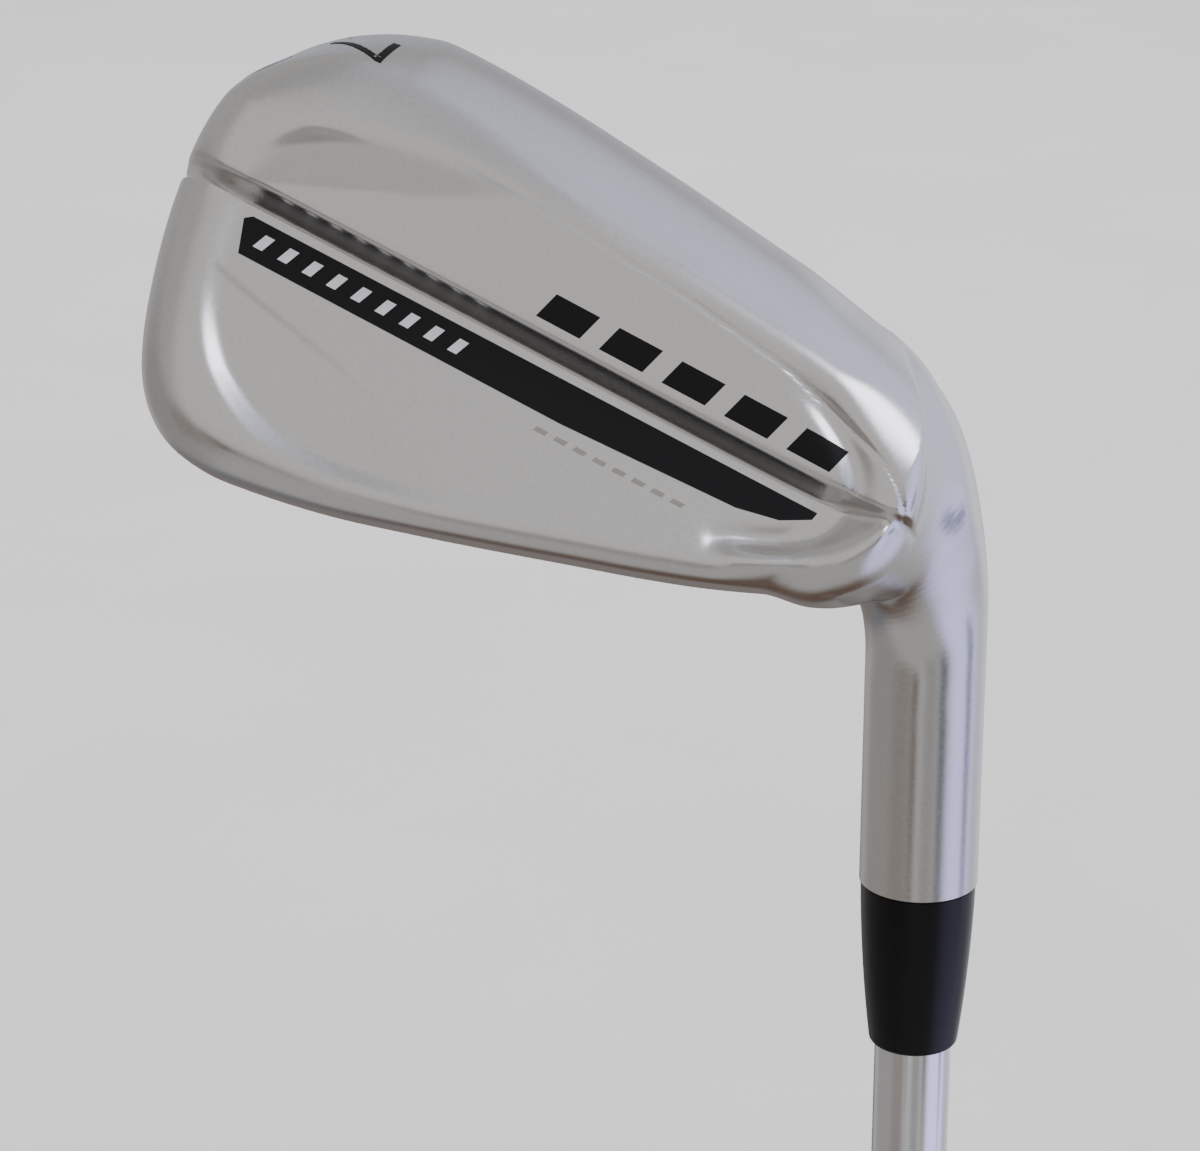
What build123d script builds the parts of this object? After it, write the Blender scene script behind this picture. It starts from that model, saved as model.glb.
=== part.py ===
"""An iron golf club, stored head up: forged hollow head, ferrule, stepped steel shaft and rubber grip.

Frame: millimetres. The shaft's axis is +Z and the butt end of the grip stands on z = 0. The toe points to -X
and the striking face looks to +Y, so the back of the head looks to -Y.
The head is drawn in the face's own coordinates: u runs from heel to toe, v up the face from the leading edge
towards the topline, and w from the face into the head.
"""

import os
from math import cos, radians, sin

from build123d import *

# Driving dimensions of the club
CLUB_LENGTH = 940.0  # along the shaft, from the butt to where the shaft's axis meets the ground at address
LIE = 62.5  # degrees between the shaft and the ground at address
LOFT = 30.0  # degrees the face leans back from the shaft's plane
EDGE_AHEAD = 3.8  # the leading edge stands this far ahead of the shaft's axis
EDGE_HEIGHT = 3.0  # and this far above the ground

# Hosel and ferrule, measured up the shaft from the ground point
HOSEL_TOP = 74.0
HOSEL_RADIUS = 6.9
HOSEL_CHAMFER = 0.35
NECK_START = 48.0
BORE_RADIUS = 4.65
BORE_FLOOR = 41.5
FERRULE_LENGTH = 20.5
FERRULE_RADIUS = 6.72
FERRULE_MID_RADIUS = 6.2
FERRULE_END_RADIUS = 5.2
FERRULE_ROUND = 0.5

# Shaft
TIP_RADIUS = 4.51
TIP_TAPER_END = 110.0  # up the shaft from the ground point; the tip is parallel below it
FIRST_STEP_RADIUS = 4.7
BUTT_RADIUS = 7.62
WALL = 0.45
STEPS = 11
STEP_PITCH = 38.1
STEP_LENGTH = 1.2  # each step is a short cone
BUTT_SECTION_END = 275.0
TIP_FLANGE = 1.0
TIP_PLUG_LENGTH = 18.0
BAND_START = 279.0
BAND_LENGTH = 30.0
BAND_THICKNESS = 0.08

# Grip
GRIP_LENGTH = 267.0
GRIP_BUTT_RADIUS = 13.3
GRIP_HAND_RADIUS = 12.4
GRIP_MID_RADIUS = 11.1
GRIP_MOUTH_RADIUS = 9.5
GRIP_LIP = 0.6
CAP_THICKNESS = 3.2
CAP_ROUND = 1.2
TAPE_THICKNESS = 0.23
TAPE_END = 262.0
VENT_RADIUS = 1.6
RING_GROOVES = 3
RING_PITCH = 4.0
RING_DEPTH = 0.5

# Head, in face coordinates
FACE_THICKNESS = 2.4
TOP_THICKNESS = 6.6
FIELD_THICKNESS = 8.5  # at the foot of the step
STEP_TOP = 30.3  # v where the step meets the field, at the middle of the sole
STEP_TILT = 0.005  # how much v the step gains per millimetre towards the toe
STEP_BOTTOM = 28.9  # v where the step meets the muscle panel
PANEL_THICKNESS = 12.8  # at the step
EDGE_THICKNESS = 16.2  # at the edge between panel and sole
EDGE_V = 16.8  # v of that edge where the sole is lowest
OUTLINE_TOP = 62.0  # sections run past the topline, and the outline trims them
SOLE_LOW_U = 47.0  # where the sole is lowest between heel and toe
SOLE_LOW_V = 2.3
HEEL_CAMBER = 6.0  # how far the sole rises over HEEL_REACH towards the heel
HEEL_REACH = 47.0
TOE_CAMBER = 6.0
TOE_REACH = 23.0
STATIONS = (-10.0, 6.0, 24.0, 47.0, 60.0, 70.0, 80.0)  # u of the head's sections
RIM = 4.2  # of the body round the face insert
LEDGE = 5.2  # of the body round the chamber
SKIN = 1.9  # the body's wall behind the field and the panel

# Neck sections: centre, lean, depth and height of the oval
NECK_SECTIONS = (
    ((0.0, 0.0, CLUB_LENGTH - NECK_START), 0.0, HOSEL_RADIUS, HOSEL_RADIUS),
    ((0.0, 0.0, 900.0), 0.05, 6.95, 7.1),
    ((-0.6, -2.2, 908.5), 0.5, 7.5, 8.8),
    ((-3.0, -9.0, 915.5), 0.9, 8.6, 13.2),
)
HEEL_END = -3.0  # u where the neck takes over from the blade

# Scorelines
LINE_COUNT = 13
LINE_FIRST = 7.6
LINE_PITCH = 3.6
LINE_WIDTH = 0.8
LINE_DEPTH = 0.5
LINE_HEEL = 11.0
LINE_TOE = 63.0
LINE_MARGIN = 4.6

# Weights, in u and v
HEEL_WEIGHT = (14.0, 20.0)
TOE_WEIGHT = (60.0, 22.0)

# Back strip, its outline in u and in distance up the field
STRIP_OUTLINE = (
    (0.1, 0.8),
    (0.3, 1.7),
    (3.4, 3.4),
    (8.2, 4.4),
    (29.0, 5.3),
    (67.5, 5.3),
    (68.7, 1.7),
    (67.9, 1.1),
)
STRIP_THICKNESS = 0.7
STRIP_TAPE = 0.25
STRIP_PROUD = 0.1
TICK_DEPTH = 0.12
# Slanted marks: first u, pitch, count, distance up the field, width, height and slant
STRIP_TICKS = (41.5, 2.9, 9, 3.1, 1.1, 1.7, 0.7)
FIELD_TICKS = (13.4, 2.3, 8, 7.5, 1.4, 0.55, 0.2)

# Enamel blocks in the muscle panel, given in the same way
PANEL_BLOCKS = (1.4, 7.4, 5, -2.95, 5.0, 2.8, 0.9)
ENAMEL_DEPTH = 0.35

# Numeral on the sole
NUMERAL_U = 63.0
NUMERAL_V = 10.4
NUMERAL_W = 13.7
NUMERAL_HEIGHT = 5.6
NUMERAL_WIDTH = 3.4
NUMERAL_STROKE = 0.8
NUMERAL_SINK = 1.2  # below the plane through the numeral's corner, to reach into the curved sole

# Toe plug
PLUG_U = 74.1
PLUG_V = 16.6
PLUG_W = 8.4
PLUG_RADIUS = 3.6
PLUG_SHANK_RADIUS = 2.4
PLUG_HEAD = 1.8
PLUG_LENGTH = 4.4
SOCKET_RADIUS = 1.4
SOCKET_DEPTH = 1.6

# Frame of the head
TOE = Vector(-sin(radians(LIE)), 0, cos(radians(LIE)))
UP = Vector(-cos(radians(LIE)), 0, -sin(radians(LIE)))
TARGET = Vector(0, 1, 0)
GROUND = Vector(0, 0, CLUB_LENGTH)
LEADING_EDGE = GROUND + TARGET * EDGE_AHEAD + UP * EDGE_HEIGHT
FACE_UP = UP * cos(radians(LOFT)) - TARGET * sin(radians(LOFT))
BACK = -(TARGET * cos(radians(LOFT)) + UP * sin(radians(LOFT)))

TIP_Z = CLUB_LENGTH - BORE_FLOOR - TIP_FLANGE  # the shaft's end, on the tip plug's flange
HOSEL_TOP_Z = CLUB_LENGTH - HOSEL_TOP
HEAD_DEPTH = 30.0  # deeper than the head, for cutting and trimming
SHAFT_STEP = (BUTT_RADIUS - FIRST_STEP_RADIUS) / STEPS
BAND_RADIUS = BUTT_RADIUS - SHAFT_STEP

os.makedirs("parts", exist_ok=True)


def finish(part, name):
    """Labels a finished piece and writes it as one STEP file."""
    part.label = name
    export_step(part, f"parts/{name}.step")
    print(f"{name}: {len(part.solids())} solids, {part.volume:.0f} mm3, valid {part.is_valid}")


def head_point(u, v, w):
    """A point of the head in the club's frame."""
    return LEADING_EDGE + TOE * u + FACE_UP * v + BACK * w


def tilted_plane(v, w, rise, run):
    """A plane through the head's (0, v, w), along u and up a slope that loses rise of w over run of v."""
    return Plane(head_point(0, v, w), x_dir=TOE, z_dir=(BACK * run + FACE_UP * rise).normalized())


face_plane = Plane(LEADING_EDGE, x_dir=TOE, z_dir=BACK)
field_plane = tilted_plane(
    STEP_TOP, FIELD_THICKNESS, FIELD_THICKNESS - TOP_THICKNESS, OUTLINE_TOP - STEP_TOP
)
panel_plane = tilted_plane(
    STEP_BOTTOM, PANEL_THICKNESS, EDGE_THICKNESS - PANEL_THICKNESS, STEP_BOTTOM - EDGE_V
)


def section_plane(u):
    """The plane across the head at u, whose local x is w and local y is v."""
    return Plane(head_point(u, 0, 0), x_dir=BACK, z_dir=-TOE)


def camber(u):
    """How far the sole has risen at u, towards the heel or the toe."""
    if u < SOLE_LOW_U:
        return HEEL_CAMBER * ((SOLE_LOW_U - u) / HEEL_REACH) ** 2
    return TOE_CAMBER * ((u - SOLE_LOW_U) / TOE_REACH) ** 2


def step_rise(u):
    """How far the step between field and panel has risen at u; it runs slightly uphill to the toe."""
    return STEP_TILT * (u - SOLE_LOW_U)


def edge_rise(u):
    """How far the edge between panel and sole has risen at u; it follows the sole closely at the heel."""
    return camber(u) * (1.15 if u < SOLE_LOW_U else 0.45)


def edge_thickness(edge_v):
    """How thick the head is at the edge between panel and sole, where that edge is at the given v."""
    slope = (EDGE_THICKNESS - PANEL_THICKNESS) / (STEP_BOTTOM - EDGE_V)
    return PANEL_THICKNESS + slope * (STEP_BOTTOM - edge_v)


def outline(plane, inset=0.0, heel=HEEL_END):
    """The head's edge seen square to the face, as a sketch on the given plane.
    The heel side runs straight up at the given u, inside the neck."""
    with BuildSketch(plane) as sketch:
        with BuildLine():
            toe_side = Spline(
                (50, 0.6 + inset),
                (60, 2.0 + inset),
                (69.6 - inset * 0.5, 7.6 + inset * 0.85),
                (75.8 - inset * 0.95, 18.4 + inset * 0.3),
                (76.8 - inset, 29.4),
                (74.6 - inset * 0.97, 40.0 - inset * 0.2),
                (70.2 - inset * 0.8, 50.0 - inset * 0.6),
                (64.6 - inset * 0.4, 55.2 - inset * 0.9),
                (55.0, 56.0 - inset),
                tangents=[(1, 0.02), (-1, -0.14)],
            )
            topline = Line(toe_side @ 1, (heel, 39.6 - inset + (heel - HEEL_END) * 0.28))
            heel_corner = (heel, SOLE_LOW_V + camber(heel) + inset)
            Polyline(topline @ 1, heel_corner, (20, 2.2 + inset), toe_side @ 0)
        make_face()
    return sketch.sketch


def tick_row(plane, row):
    """A row of slanted marks on a plane whose x runs along u."""
    start, pitch, count, height_up, width, height, slant = row
    corners = ((0, -height / 2), (width, -height / 2), (width + slant, height / 2), (slant, height / 2))
    with BuildSketch(plane) as sketch:
        with Locations(*[(start + index * pitch, height_up) for index in range(count)]):
            Polygon(*corners, align=None)
    return sketch.sketch


def blade_section(u):
    """The closed section of the head at u, from the leading edge over the topline and round the sole."""
    rise = camber(u)
    sole = SOLE_LOW_V + rise
    edge_v = EDGE_V + edge_rise(u)
    edge_w = edge_thickness(edge_v)
    with BuildSketch(section_plane(u)) as sketch:
        with BuildLine():
            Polyline(
                (0.0, sole + 1.5),
                (0.0, OUTLINE_TOP),
                (TOP_THICKNESS, OUTLINE_TOP),
                (FIELD_THICKNESS, STEP_TOP + step_rise(u)),
                (PANEL_THICKNESS, STEP_BOTTOM + step_rise(u)),
                (edge_w, edge_v),
            )
            Spline(
                (edge_w, edge_v),
                (edge_w - 2.0, sole + (edge_v - sole) * 0.48),
                (8.6, sole + 2.7),
                (3.2, sole + 0.45),
                (0.0, sole + 1.5),
                tangents=[(-0.1, -1), (-0.15, 1)],
            )
        make_face()
    return sketch.sketch


def chamber_section(u):
    """The closed section of the chamber inside the head at u, open to the face insert."""
    sole = SOLE_LOW_V + camber(u)
    edge_v = EDGE_V + edge_rise(u)
    edge_w = edge_thickness(edge_v)
    with BuildSketch(section_plane(u)) as sketch:
        with BuildLine():
            Polyline(
                (FACE_THICKNESS, sole + 3.4),
                (FACE_THICKNESS, OUTLINE_TOP),
                (TOP_THICKNESS - SKIN, OUTLINE_TOP),
                (FIELD_THICKNESS - SKIN, STEP_TOP + step_rise(u) - 0.4),
                (PANEL_THICKNESS - SKIN, max(STEP_BOTTOM + step_rise(u) - 1.6, edge_v + 1.4)),
                (edge_w - 2.8, edge_v + 0.6),
                (edge_w - 4.8, sole + (edge_v - sole) * 0.6 + 1.2),
                (7.0, sole + 4.8),
                close=True,
            )
        make_face()
    return sketch.sketch


def neck_section(centre, lean, depth, height):
    """An oval across the neck; lean turns it from square to the shaft (0) to square to the blade (1)."""
    travel = (TOE * lean + Vector(0, 0, 1) * (1 - lean)).normalized()
    back = BACK * lean - TARGET * (1 - lean)
    across = (back - travel * back.dot(travel)).normalized()
    up = across.cross(travel)
    with BuildSketch(Plane(centre, x_dir=up, z_dir=-travel)) as sketch:
        if depth == height:
            Circle(depth)
        else:
            Ellipse(height, depth)
    return sketch.sketch


def neck_end(u):
    """The neck's last section, just inside the blade at u."""
    sole = SOLE_LOW_V + camber(u)
    edge_v = EDGE_V + edge_rise(u)
    with BuildSketch(section_plane(u)) as sketch:
        with BuildLine():
            Spline(
                (TOP_THICKNESS - 2.6, 39.6),
                (0.3, 38.4),
                (0.1, 30.0),
                (0.1, 19.0),
                (0.2, sole + 3.0),
                (3.8, sole + 0.2),
                (8.7, sole + 1.6),
                (13.9, sole + (edge_v - sole) * 0.47),
                (EDGE_THICKNESS - 0.4, edge_v + 0.2),
                (PANEL_THICKNESS - 0.2, STEP_BOTTOM + step_rise(u) - 0.3),
                (FIELD_THICKNESS - 0.1, STEP_TOP + step_rise(u) + 2.4),
                (TOP_THICKNESS + 0.2, 38.4),
                periodic=True,
            )
        make_face()
    return sketch.sketch


# ---------------------------------------------------------------- shapes the head is cut from
with BuildPart() as blade:
    loft([blade_section(u) for u in STATIONS])
    extrude(outline(face_plane.offset(-5)), amount=HEAD_DEPTH, mode=Mode.INTERSECT)

with BuildPart() as chamber:
    loft([chamber_section(u) for u in STATIONS])
    extrude(outline(face_plane, inset=LEDGE, heel=4.0), amount=HEAD_DEPTH, mode=Mode.INTERSECT)

with BuildPart() as neck:
    loft([neck_section(*section) for section in NECK_SECTIONS] + [neck_end(HEEL_END + 0.6)])

with BuildPart() as hosel:
    with BuildSketch(Plane.XY.offset(HOSEL_TOP_Z)):
        Circle(HOSEL_RADIUS)
    extrude(amount=HOSEL_TOP - NECK_START)
    chamfer(hosel.edges().sort_by(Axis.Z)[0], HOSEL_CHAMFER)

with BuildPart() as insert_blank:
    extrude(outline(face_plane, inset=RIM, heel=2.2), amount=FACE_THICKNESS)

with BuildPart() as scorelines:
    with Locations(face_plane):
        for line in range(LINE_COUNT):
            with Locations(((LINE_HEEL + LINE_TOE) / 2, LINE_FIRST + line * LINE_PITCH, 0)):
                Box(LINE_TOE - LINE_HEEL, LINE_WIDTH, 2 * LINE_DEPTH)
    extrude(outline(face_plane.offset(-2), inset=LINE_MARGIN, heel=5.0), amount=4, mode=Mode.INTERSECT)

with BuildPart() as strip_blank:
    with BuildSketch(field_plane.offset(STRIP_PROUD)):
        with BuildLine():
            Polyline(*STRIP_OUTLINE, close=True)
        make_face()
    extrude(amount=-STRIP_THICKNESS - STRIP_TAPE)

with BuildPart() as strip_ticks:
    extrude(tick_row(field_plane.offset(STRIP_PROUD), STRIP_TICKS), amount=-TICK_DEPTH)

with BuildPart() as field_ticks:
    extrude(tick_row(field_plane, FIELD_TICKS), amount=-TICK_DEPTH)

with BuildPart() as panel_blocks:
    extrude(tick_row(panel_plane.offset(-ENAMEL_DEPTH), PANEL_BLOCKS), amount=2)
    add(blade.part, mode=Mode.INTERSECT)

numeral_plane = Plane(
    head_point(NUMERAL_U, NUMERAL_V, NUMERAL_W),
    x_dir=FACE_UP * 0.85 + BACK * 0.43,
    z_dir=BACK * 0.85 - FACE_UP * 0.43,
)
with BuildPart() as numeral:
    with BuildSketch(numeral_plane.offset(-NUMERAL_SINK)):
        with BuildLine():
            Polyline(
                (0, 0),
                (NUMERAL_WIDTH, 0),
                (NUMERAL_WIDTH, -NUMERAL_STROKE),
                (NUMERAL_WIDTH * 0.62, -NUMERAL_HEIGHT),
                (NUMERAL_WIDTH * 0.36, -NUMERAL_HEIGHT),
                (NUMERAL_WIDTH - NUMERAL_STROKE * 1.2, -NUMERAL_STROKE),
                (0, -NUMERAL_STROKE),
                close=True,
            )
        make_face()
    extrude(amount=4)
    add(blade.part, mode=Mode.INTERSECT)

plug_axis = TOE * 0.93 - FACE_UP * 0.36 + BACK * 0.08
plug_plane = Plane(head_point(PLUG_U, PLUG_V, PLUG_W), x_dir=BACK, z_dir=plug_axis)
with BuildPart() as plug_blank:
    with BuildSketch(plug_plane.offset(-PLUG_HEAD)):
        Circle(PLUG_RADIUS)
    extrude(amount=PLUG_HEAD * 3)
    with BuildSketch(plug_plane.offset(-PLUG_LENGTH)):
        Circle(PLUG_SHANK_RADIUS)
    extrude(amount=PLUG_LENGTH)

# ---------------------------------------------------------------- head
with BuildPart() as head_body:
    add(blade.part)
    add(neck.part)
    add(hosel.part)
    with BuildSketch(Plane.XY.offset(HOSEL_TOP_Z)):
        Circle(BORE_RADIUS)
    extrude(amount=HOSEL_TOP - BORE_FLOOR, mode=Mode.SUBTRACT)
    add(chamber.part, mode=Mode.SUBTRACT)
    add(insert_blank.part, mode=Mode.SUBTRACT)
    add(strip_blank.part, mode=Mode.SUBTRACT)
    add(panel_blocks.part, mode=Mode.SUBTRACT)
    add(numeral.part, mode=Mode.SUBTRACT)
    add(field_ticks.part, mode=Mode.SUBTRACT)
    add(plug_blank.part, mode=Mode.SUBTRACT)
finish(head_body.part, "head_body")

with BuildPart() as face_insert:
    add(insert_blank.part)
    add(scorelines.part, mode=Mode.SUBTRACT)
finish(face_insert.part, "face_insert")

with BuildPart() as heel_weight:
    add(chamber.part)
    with Locations(face_plane):
        Box(2 * HEEL_WEIGHT[0], 2 * HEEL_WEIGHT[1], 2 * HEAD_DEPTH, mode=Mode.INTERSECT)
finish(heel_weight.part, "heel_weight")

with BuildPart() as toe_weight:
    add(chamber.part)
    with Locations(face_plane * Pos(TOE_WEIGHT[0] + HEAD_DEPTH, 0, 0)):
        Box(2 * HEAD_DEPTH, 2 * TOE_WEIGHT[1], 2 * HEAD_DEPTH, mode=Mode.INTERSECT)
    add(plug_blank.part, mode=Mode.SUBTRACT)
finish(toe_weight.part, "toe_weight")

with BuildPart() as foam_core:
    add(chamber.part)
    add(heel_weight.part, mode=Mode.SUBTRACT)
    add(toe_weight.part, mode=Mode.SUBTRACT)
    add(plug_blank.part, mode=Mode.SUBTRACT)
finish(foam_core.part, "foam_core")

with BuildPart() as toe_plug:
    add(plug_blank.part)
    add(blade.part, mode=Mode.INTERSECT)
    with BuildSketch(plug_plane.offset(-SOCKET_DEPTH)):
        RegularPolygon(SOCKET_RADIUS, 6)
    extrude(amount=HEAD_DEPTH, mode=Mode.SUBTRACT)
finish(toe_plug.part, "toe_plug")

with BuildPart() as strip_tape:
    add(strip_blank.part)
    with Locations(field_plane.offset(STRIP_PROUD - STRIP_THICKNESS + HEAD_DEPTH / 2)):
        Box(4 * HEAD_DEPTH * 2, HEAD_DEPTH, HEAD_DEPTH, mode=Mode.SUBTRACT)
finish(strip_tape.part, "strip_tape")

with BuildPart() as back_strip:
    add(strip_blank.part)
    add(strip_tape.part, mode=Mode.SUBTRACT)
    add(strip_ticks.part, mode=Mode.SUBTRACT)
finish(back_strip.part, "back_strip")
finish(strip_ticks.part, "strip_marks")
finish(field_ticks.part, "field_marks")
finish(panel_blocks.part, "panel_enamel")
finish(numeral.part, "sole_numeral")

# ---------------------------------------------------------------- ferrule and shaft
with BuildPart() as ferrule:
    with BuildSketch(Plane.XZ):
        with BuildLine():
            top = HOSEL_TOP_Z - FERRULE_LENGTH
            skirt = ThreePointArc(
                (FERRULE_RADIUS, HOSEL_TOP_Z),
                (FERRULE_MID_RADIUS, HOSEL_TOP_Z - FERRULE_LENGTH * 0.52),
                (FERRULE_END_RADIUS, top),
            )
            Polyline(skirt @ 1, (TIP_RADIUS, top), (TIP_RADIUS, HOSEL_TOP_Z), skirt @ 0)
        make_face()
    revolve(axis=Axis.Z)
    fillet(ferrule.edges().group_by(Axis.Z)[0].sort_by(SortBy.RADIUS)[-1], FERRULE_ROUND)
finish(ferrule.part, "ferrule")

with BuildPart() as epoxy_bond:
    with BuildSketch(Plane.XY.offset(HOSEL_TOP_Z)):
        Circle(BORE_RADIUS)
        Circle(TIP_RADIUS, mode=Mode.SUBTRACT)
    extrude(amount=HOSEL_TOP - BORE_FLOOR - TIP_FLANGE)
finish(epoxy_bond.part, "epoxy_bond")

with BuildPart() as tip_plug:
    with BuildSketch(Plane.XY.offset(TIP_Z)):
        Circle(BORE_RADIUS)
    extrude(amount=TIP_FLANGE)
    with BuildSketch(Plane.XY.offset(TIP_Z)):
        Circle(TIP_RADIUS - WALL)
    extrude(amount=-TIP_PLUG_LENGTH)
finish(tip_plug.part, "tip_plug")


def shaft_profile():
    """Radius and height down the outside of the shaft, from the butt to the tip."""
    points = [(BUTT_RADIUS, CAP_THICKNESS), (BUTT_RADIUS, BUTT_SECTION_END)]
    for step in range(1, STEPS + 1):
        radius = BUTT_RADIUS - step * SHAFT_STEP
        start = BUTT_SECTION_END + (step - 1) * STEP_PITCH
        points.append((radius, start + STEP_LENGTH))
        points.append((radius, start + STEP_PITCH))
    points[-1] = (FIRST_STEP_RADIUS, BUTT_SECTION_END + STEPS * STEP_PITCH)
    points.append((TIP_RADIUS, CLUB_LENGTH - TIP_TAPER_END))
    points.append((TIP_RADIUS, TIP_Z))
    return points


with BuildPart() as shaft:
    with BuildSketch(Plane.XZ):
        with BuildLine():
            outside = shaft_profile()
            inside = [(radius - WALL, height) for radius, height in reversed(outside)]
            Polyline(*outside, *inside, close=True)
        make_face()
    revolve(axis=Axis.Z)
finish(shaft.part, "shaft")

with BuildPart() as shaft_band:
    with BuildSketch(Plane.XY.offset(BAND_START)):
        Circle(BAND_RADIUS + BAND_THICKNESS)
        Circle(BAND_RADIUS, mode=Mode.SUBTRACT)
    extrude(amount=BAND_LENGTH)
finish(shaft_band.part, "shaft_band")

# ---------------------------------------------------------------- grip
with BuildPart() as grip_tape:
    with BuildSketch(Plane.XY.offset(CAP_THICKNESS)):
        Circle(BUTT_RADIUS + TAPE_THICKNESS)
        Circle(BUTT_RADIUS, mode=Mode.SUBTRACT)
    extrude(amount=TAPE_END - CAP_THICKNESS)
finish(grip_tape.part, "grip_tape")

with BuildPart() as grip:
    with BuildSketch(Plane.XZ):
        with BuildLine():
            skin = Spline(
                (GRIP_BUTT_RADIUS, CAP_THICKNESS),
                (GRIP_HAND_RADIUS, GRIP_LENGTH * 0.25),
                (GRIP_MID_RADIUS, GRIP_LENGTH * 0.6),
                (GRIP_MOUTH_RADIUS, GRIP_LENGTH),
            )
            Polyline(
                skin @ 1,
                (BUTT_RADIUS, GRIP_LENGTH),
                (BUTT_RADIUS, TAPE_END),
                (BUTT_RADIUS + TAPE_THICKNESS, TAPE_END),
                (BUTT_RADIUS + TAPE_THICKNESS, CAP_THICKNESS),
                skin @ 0,
            )
        make_face()
    revolve(axis=Axis.Z)
    fillet(grip.edges().group_by(Axis.Z)[-1].sort_by(SortBy.RADIUS)[-1], GRIP_LIP)
    for ring in range(RING_GROOVES):
        with Locations((0, 0, GRIP_LENGTH - (ring + 1.5) * RING_PITCH)):
            Torus(GRIP_MOUTH_RADIUS + RING_DEPTH / 2, RING_DEPTH, mode=Mode.SUBTRACT)
finish(grip.part, "grip")

with BuildPart() as grip_cap:
    with BuildSketch(Plane.XY):
        Circle(GRIP_BUTT_RADIUS)
    extrude(amount=CAP_THICKNESS)
    fillet(grip_cap.edges().sort_by(Axis.Z)[0], CAP_ROUND)
    Hole(VENT_RADIUS)
finish(grip_cap.part, "grip_cap")
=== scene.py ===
import math

import bpy
import numpy as np
from mathutils import Matrix, Vector


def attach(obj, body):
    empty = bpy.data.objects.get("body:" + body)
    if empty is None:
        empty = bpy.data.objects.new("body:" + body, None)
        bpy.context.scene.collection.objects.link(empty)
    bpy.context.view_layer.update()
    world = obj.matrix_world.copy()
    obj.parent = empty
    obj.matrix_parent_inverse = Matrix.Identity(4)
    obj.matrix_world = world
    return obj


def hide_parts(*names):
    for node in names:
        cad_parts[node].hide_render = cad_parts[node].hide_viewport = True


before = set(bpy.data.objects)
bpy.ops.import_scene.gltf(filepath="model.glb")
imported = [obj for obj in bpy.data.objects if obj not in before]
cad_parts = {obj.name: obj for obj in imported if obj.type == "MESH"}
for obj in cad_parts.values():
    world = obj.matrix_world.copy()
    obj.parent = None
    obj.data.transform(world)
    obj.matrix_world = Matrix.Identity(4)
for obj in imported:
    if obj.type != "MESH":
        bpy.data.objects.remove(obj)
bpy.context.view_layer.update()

# ---------------------------------------------------------------- frame of the head, in millimetres
LIE = math.radians(62.5)
LOFT = math.radians(30.0)
GROUND = np.array([0.0, 0.0, 940.0])
TOE = np.array([-math.sin(LIE), 0.0, math.cos(LIE)])
UP = np.array([-math.cos(LIE), 0.0, -math.sin(LIE)])
TARGET = np.array([0.0, 1.0, 0.0])
FACE_UP = UP * math.cos(LOFT) - TARGET * math.sin(LOFT)
BACK = -(TARGET * math.cos(LOFT) + UP * math.sin(LOFT))
EDGE = GROUND + 3.8 * TARGET + 3.0 * UP
AXES = np.stack([TOE, FACE_UP, BACK])
HOSEL_TOP = 74.0  # up the shaft from the ground point
HOSEL_RADIUS = 6.9
CHAMFER_HEIGHT = 0.3
CHAMFER_WIDTH = 0.28
BORE_RADIUS = 4.7
HOSEL_END = 940.0 - HOSEL_TOP
HOSEL_CUT = HOSEL_END + 3.0  # the mesh of the head starts here; a turned ring closes the hosel
RING_OVERLAP = 0.6


def to_world(uvw):
    """Points of the head from face coordinates in millimetres to the frame in metres."""
    return (EDGE + uvw @ AXES) / 1000.0


# ---------------------------------------------------------------- small mesh and curve helpers
def smax(a, b, r):
    """The larger of two distances, blended where they differ by less than r."""
    h = np.maximum(r - np.abs(a - b), 0.0) / r
    return np.maximum(a, b) + h * h * r * 0.25


def rmax(a, b, r):
    """Intersection with a true round of radius r on the edge."""
    return np.hypot(np.maximum(a + r, 0), np.maximum(b + r, 0)) + np.minimum(np.maximum(a, b) + r, 0) - r


def smooth_curve(points, steps=8):
    """Catmull-Rom points along an open list."""
    p = np.array(points, float)
    p = np.vstack([2 * p[0] - p[1], p, 2 * p[-1] - p[-2]])
    out = []
    for i in range(1, len(p) - 2):
        for k in range(steps):
            t = k / steps
            a, b, c, d = p[i - 1], p[i], p[i + 1], p[i + 2]
            square, cube = 2 * a - 5 * b + 4 * c - d, 3 * b - a - 3 * c + d
            out.append(0.5 * (2 * b + (c - a) * t + square * t * t + cube * t**3))
    out.append(p[-2])
    return np.array(out)


def signed(x, y, curve):
    """Distance to an open polyline, positive on its right-hand side."""
    best = np.full(np.broadcast(x, y).shape, 1e9, np.float32)
    sign = np.ones_like(best)
    for (ax, ay), (bx, by) in zip(curve[:-1], curve[1:]):
        dx, dy = bx - ax, by - ay
        t = np.clip(((x - ax) * dx + (y - ay) * dy) / (dx * dx + dy * dy), 0, 1)
        qx, qy = x - ax - t * dx, y - ay - t * dy
        d = qx * qx + qy * qy
        near = d < best
        best = np.where(near, d, best)
        sign = np.where(near, np.where(dx * qy - dy * qx < 0, 1.0, -1.0), sign)
    return np.sqrt(best) * sign


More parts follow.
